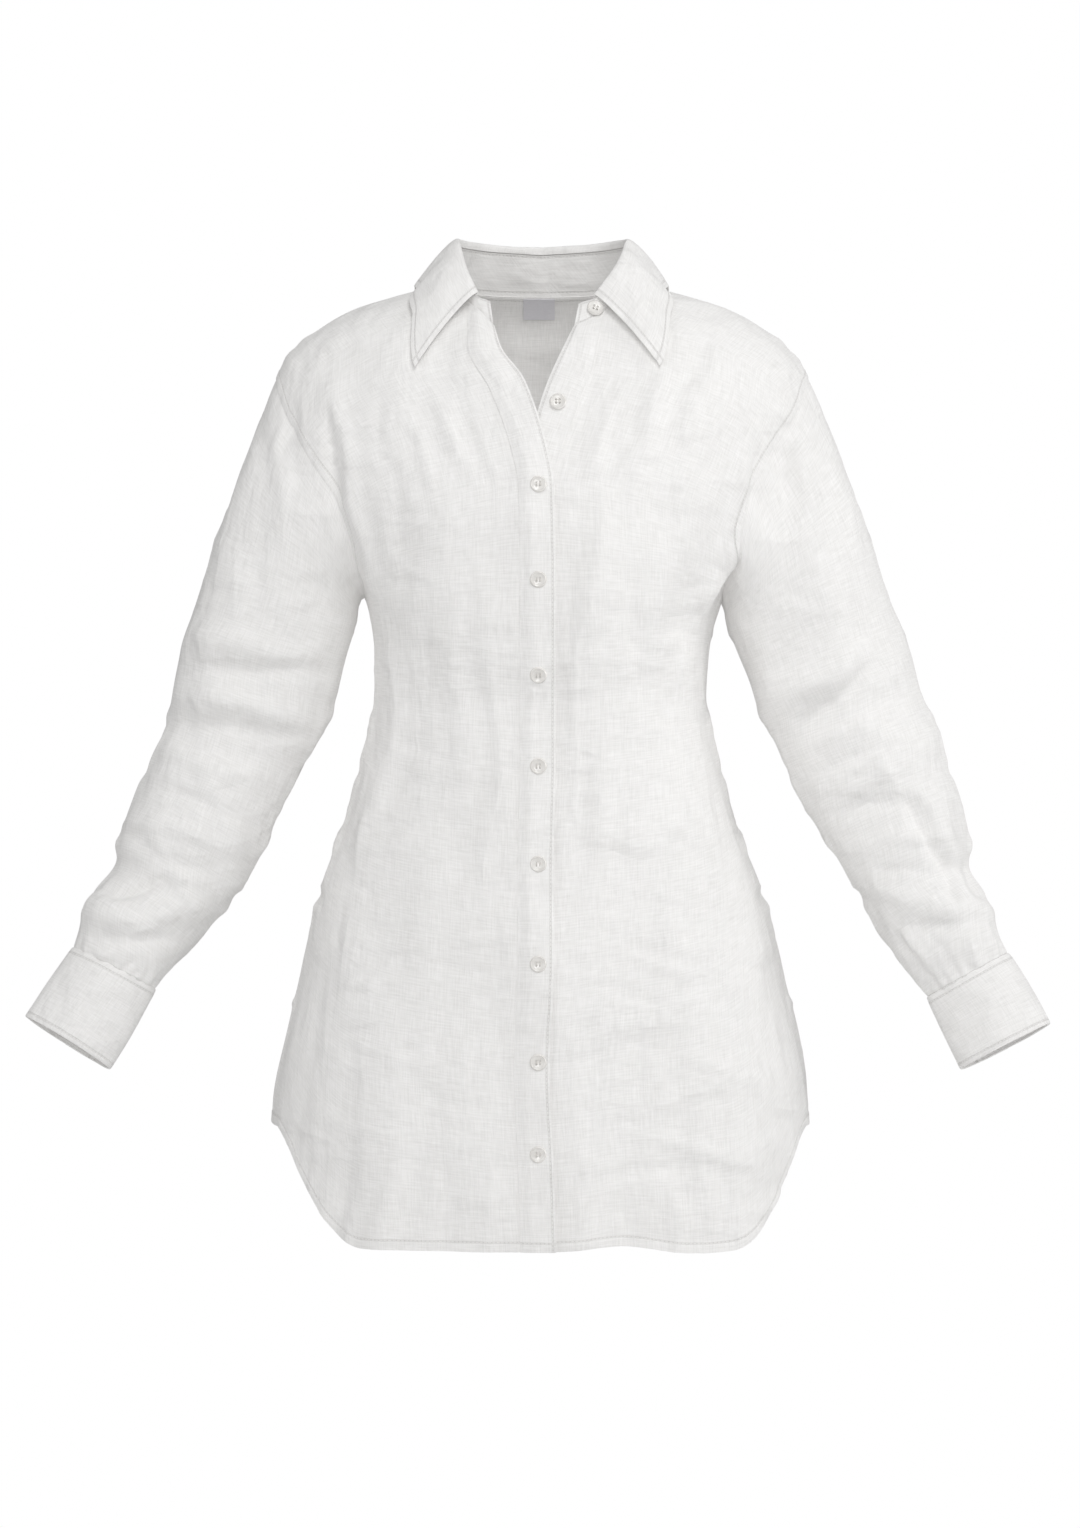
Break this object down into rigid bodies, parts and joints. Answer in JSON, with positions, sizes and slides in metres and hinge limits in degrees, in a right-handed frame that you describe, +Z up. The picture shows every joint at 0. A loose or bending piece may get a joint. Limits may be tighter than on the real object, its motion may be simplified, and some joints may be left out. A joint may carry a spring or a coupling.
{
  "type": "linen shirt",
  "caption": "Women's longline off-white linen shirt, filled out and hollow, open at the neck, with a pointed collar, long cuffed sleeves, button front and curved hem.",
  "frame": {"origin": "midway between the two points where the shoulder seams meet the neck, where the wearer's shoulders hold the shirt", "axes": "+Z up, the fronts face -Y, +X to the wearer's left"},
  "size_m": [0.8065, 0.2706, 0.7945],
  "materials": {
    "linen": "matt washed plain-weave linen, slubbed",
    "button": "soft pearly gloss",
    "label": "smooth satin tape"
  },
  "bodies": {
    "root": {"front_right": "linen", "front_left": "linen", "back": "linen", "band_right": "linen", "band_left": "linen", "sleeve_right": "linen", "sleeve_left": "linen", "cuff_right": "linen", "cuff_left": "linen", "collar_stand": "linen", "collar": "linen", "label": "label", "button_1": "button", "button_2": "button", "button_3": "button", "button_4": "button", "button_5": "button", "button_6": "button", "button_7": "button", "button_8": "button", "button_open": "button", "button_stand": "button", "button_cuff_right": "button", "button_cuff_left": "button"}
  },
  "joints": []
}
